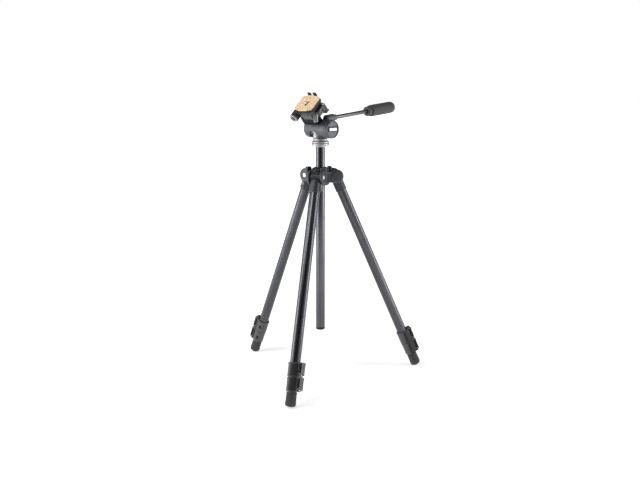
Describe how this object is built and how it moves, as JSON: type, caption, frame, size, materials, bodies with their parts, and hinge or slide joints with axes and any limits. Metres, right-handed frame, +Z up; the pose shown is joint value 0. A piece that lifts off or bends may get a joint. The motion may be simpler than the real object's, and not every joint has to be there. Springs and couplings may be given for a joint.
{
  "type": "photo tripod",
  "caption": "Folding-leg photo tripod with centre column, two-way tilting head, long handle and cork-faced quick-release plate, legs spread and leg sections pushed in.",
  "frame": {"origin": "on the floor, at the centre of the object's box seen from above", "axes": "+Z up the centre column; +X along the head's tilt axis towards the end cap; +Y towards the handle's grip"},
  "size_m": [0.4438, 0.5198, 0.7448],
  "materials": {
    "anodised_tube": "dark grey anodised, satin",
    "cast_paint": "grey hammered paint on die casting",
    "lock_plastic": "fine grain, matt",
    "black_plastic": "fine grain, satin",
    "rubber": "matt",
    "grip_rubber": "matt, soft-touch",
    "handle_metal": "dark anodised, satin",
    "bright_alloy": "satin bright",
    "steel": "turned, bright",
    "cork": "fine granulated cork",
    "pale_plate": "plain satin"
  },
  "bodies": {
    "mount_body": {"spider": "cast_paint", "column_bushing": "black_plastic", "front_leg_pivot_bolt": "steel", "right_leg_pivot_bolt": "steel", "left_leg_pivot_bolt": "steel"},
    "front_leg": {"front_leg_shoulder": "cast_paint", "front_leg_upper_tube": "anodised_tube", "front_leg_upper_lock": "lock_plastic"},
    "front_leg_stop": {"front_leg_angle_stop": "bright_alloy"},
    "front_leg_middle": {"front_leg_middle_tube": "anodised_tube", "front_leg_lower_lock": "lock_plastic"},
    "front_leg_end": {"front_leg_lower_tube": "anodised_tube", "front_leg_rubber_foot": "rubber"},
    "front_leg_top_clip": {"front_leg_upper_lever": "black_plastic"},
    "front_leg_bottom_clip": {"front_leg_lower_lever": "black_plastic"},
    "right_leg": {"right_leg_shoulder": "cast_paint", "right_leg_upper_tube": "anodised_tube", "right_leg_upper_lock": "lock_plastic"},
    "right_leg_stop": {"right_leg_angle_stop": "bright_alloy"},
    "right_leg_middle": {"right_leg_middle_tube": "anodised_tube", "right_leg_lower_lock": "lock_plastic"},
    "right_leg_end": {"right_leg_lower_tube": "anodised_tube", "right_leg_rubber_foot": "rubber"},
    "right_leg_top_clip": {"right_leg_upper_lever": "black_plastic"},
    "right_leg_bottom_clip": {"right_leg_lower_lever": "black_plastic"},
    "left_leg": {"left_leg_shoulder": "cast_paint", "left_leg_upper_tube": "anodised_tube", "left_leg_upper_lock": "lock_plastic"},
    "left_leg_stop": {"left_leg_angle_stop": "bright_alloy"},
    "left_leg_middle": {"left_leg_middle_tube": "anodised_tube", "left_leg_lower_lock": "lock_plastic"},
    "left_leg_end": {"left_leg_lower_tube": "anodised_tube", "left_leg_rubber_foot": "rubber"},
    "left_leg_top_clip": {"left_leg_upper_lever": "black_plastic"},
    "left_leg_bottom_clip": {"left_leg_lower_lever": "black_plastic"},
    "column": {"center_column": "anodised_tube", "column_end_cap": "black_plastic", "column_top_disc": "bright_alloy", "head_stud": "steel"},
    "column_knob": {"column_lock_knob": "black_plastic"},
    "pan": {"pan_base": "bright_alloy", "tilt_axle": "steel", "barrel_end_cap": "cast_paint", "badge_plate": "pale_plate"},
    "tilt": {"tilt_barrel": "cast_paint", "roll_axle": "bright_alloy"},
    "handle": {"handle_rod": "handle_metal", "handle_collar": "lock_plastic", "handle_grip": "grip_rubber"},
    "platform": {"platform_table": "cast_paint", "release_lever_pin": "steel"},
    "side_tilt_lever": {"roll_lock_lever": "bright_alloy"},
    "release_lever": {"quick_release_lever": "cast_paint"},
    "plate": {"quick_release_plate": "black_plastic", "cork_pad": "cork"},
    "screw": {"camera_screw": "steel"}
  },
  "joints": [
    {"name": "front_leg_fold", "type": "hinge", "parent": "mount_body", "child": "front_leg", "pos_m": [0.07898, -0.04205, 0.532], "axis": [0.887, 0.4617, 0], "range_deg": [0, 22]},
    {"name": "front_leg_stop_pull", "type": "slide", "parent": "front_leg", "child": "front_leg_stop", "axis": [0.1867, -0.3587, -0.9146], "range_m": [0, 0.004], "stiffness_N_per_m": 300, "springref_m": -0.002},
    {"name": "front_leg_middle_slide", "type": "slide", "parent": "front_leg", "child": "front_leg_middle", "axis": [0.1867, -0.3587, -0.9146], "range_m": [0, 0.33]},
    {"name": "front_leg_end_slide", "type": "slide", "parent": "front_leg_middle", "child": "front_leg_end", "axis": [0.1867, -0.3587, -0.9146], "range_m": [0, 0.33]},
    {"name": "front_leg_top_clip_flip", "type": "hinge", "parent": "front_leg", "child": "front_leg_top_clip", "pos_m": [0.19175, -0.21452, 0.07706], "axis": [-0.2619, 0.8791, -0.3982], "range_deg": [0, 110]},
    {"name": "front_leg_bottom_clip_flip", "type": "hinge", "parent": "front_leg_middle", "child": "front_leg_bottom_clip", "pos_m": [0.19843, -0.22737, 0.04432], "axis": [-0.2619, 0.8791, -0.3982], "range_deg": [0, 110]},
    {"name": "right_leg_fold", "type": "hinge", "parent": "mount_body", "child": "right_leg", "pos_m": [0.08194, 0.02561, 0.532], "axis": [-0.8434, 0.5373, 0], "range_deg": [0, 22]},
    {"name": "right_leg_stop_pull", "type": "slide", "parent": "right_leg", "child": "right_leg_stop", "axis": [0.2173, 0.341, -0.9146], "range_m": [0, 0.004], "stiffness_N_per_m": 300, "springref_m": -0.002},
    {"name": "right_leg_middle_slide", "type": "slide", "parent": "right_leg", "child": "right_leg_middle", "axis": [0.2173, 0.341, -0.9146], "range_m": [0, 0.33]},
    {"name": "right_leg_end_slide", "type": "slide", "parent": "right_leg_middle", "child": "right_leg_end", "axis": [0.2173, 0.341, -0.9146], "range_m": [0, 0.33]},
    {"name": "right_leg_top_clip_flip", "type": "hinge", "parent": "right_leg", "child": "right_leg_top_clip", "pos_m": [0.20052, 0.21174, 0.08398], "axis": [-0.8434, 0.5373, 0], "range_deg": [0, 110]},
    {"name": "right_leg_bottom_clip_flip", "type": "hinge", "parent": "right_leg_middle", "child": "right_leg_bottom_clip", "pos_m": [0.2083, 0.22395, 0.05124], "axis": [-0.8434, 0.5373, 0], "range_deg": [0, 110]},
    {"name": "left_leg_fold", "type": "hinge", "parent": "mount_body", "child": "left_leg", "pos_m": [0.02187, -0.00566, 0.532], "axis": [-0.0436, -0.999, 0], "range_deg": [0, 22]},
    {"name": "left_leg_stop_pull", "type": "slide", "parent": "left_leg", "child": "left_leg_stop", "axis": [-0.404, 0.0176, -0.9146], "range_m": [0, 0.004], "stiffness_N_per_m": 300, "springref_m": -0.002},
    {"name": "left_leg_middle_slide", "type": "slide", "parent": "left_leg", "child": "left_leg_middle", "axis": [-0.404, 0.0176, -0.9146], "range_m": [0, 0.33]},
    {"name": "left_leg_end_slide", "type": "slide", "parent": "left_leg_middle", "child": "left_leg_end", "axis": [-0.404, 0.0176, -0.9146], "range_m": [0, 0.33]},
    {"name": "left_leg_top_clip_flip", "type": "hinge", "parent": "left_leg", "child": "left_leg_top_clip", "pos_m": [-0.1984, -0.00036, 0.0838], "axis": [0.1473, -0.9855, -0.0841], "range_deg": [0, 110]},
    {"name": "left_leg_bottom_clip_flip", "type": "hinge", "parent": "left_leg_middle", "child": "left_leg_bottom_clip", "pos_m": [-0.21286, 0.00028, 0.05106], "axis": [0.1473, -0.9855, -0.0841], "range_deg": [0, 110]},
    {"name": "column_lift", "type": "slide", "parent": "mount_body", "child": "column", "axis": [0, 0, 1], "range_m": [-0.045, 0.34]},
    {"name": "column_knob_turn", "type": "hinge", "parent": "mount_body", "child": "column_knob", "pos_m": [0.04154, 0.02988, 0.517], "axis": [-0.4617, 0.887, 0], "range_deg": [-300, 0]},
    {"name": "pan_turn", "type": "hinge", "parent": "column", "child": "pan", "pos_m": [0.06093, -0.00737, 0.62], "axis": [0, 0, 1], "continuous": true},
    {"name": "tilt_turn", "type": "hinge", "parent": "pan", "child": "tilt", "pos_m": [0.06093, -0.00737, 0.6525], "axis": [1, 0, 0], "range_deg": [-67.5, 37.5]},
    {"name": "handle_twist", "type": "hinge", "parent": "tilt", "child": "handle", "pos_m": [0.08093, 0.0103, 0.68005], "axis": [0, 0.9962, 0.0872], "range_deg": [-180, 0]},
    {"name": "side_tilt", "type": "hinge", "parent": "tilt", "child": "platform", "pos_m": [0.03193, -0.05196, 0.70116], "axis": [0, -0.7373, -0.6756], "range_deg": [0, 90]},
    {"name": "side_tilt_lever_turn", "type": "hinge", "parent": "tilt", "child": "side_tilt_lever", "pos_m": [0.08893, -0.05444, 0.69617], "axis": [1, 0, 0], "range_deg": [0, 60]},
    {"name": "release_lever_turn", "type": "hinge", "parent": "platform", "child": "release_lever", "pos_m": [0.10473, -0.04164, 0.71062], "axis": [0, -0.6756, 0.7373], "range_deg": [0, 60]},
    {"name": "plate_lift_off", "type": "slide", "parent": "platform", "child": "plate", "axis": [0, -0.6756, 0.7373], "range_m": [0, 0.03]},
    {"name": "camera_screw_turn", "type": "hinge", "parent": "plate", "child": "screw", "pos_m": [0.07043, -0.06277, 0.71296], "axis": [0, -0.6756, 0.7373], "continuous": true}
  ]
}
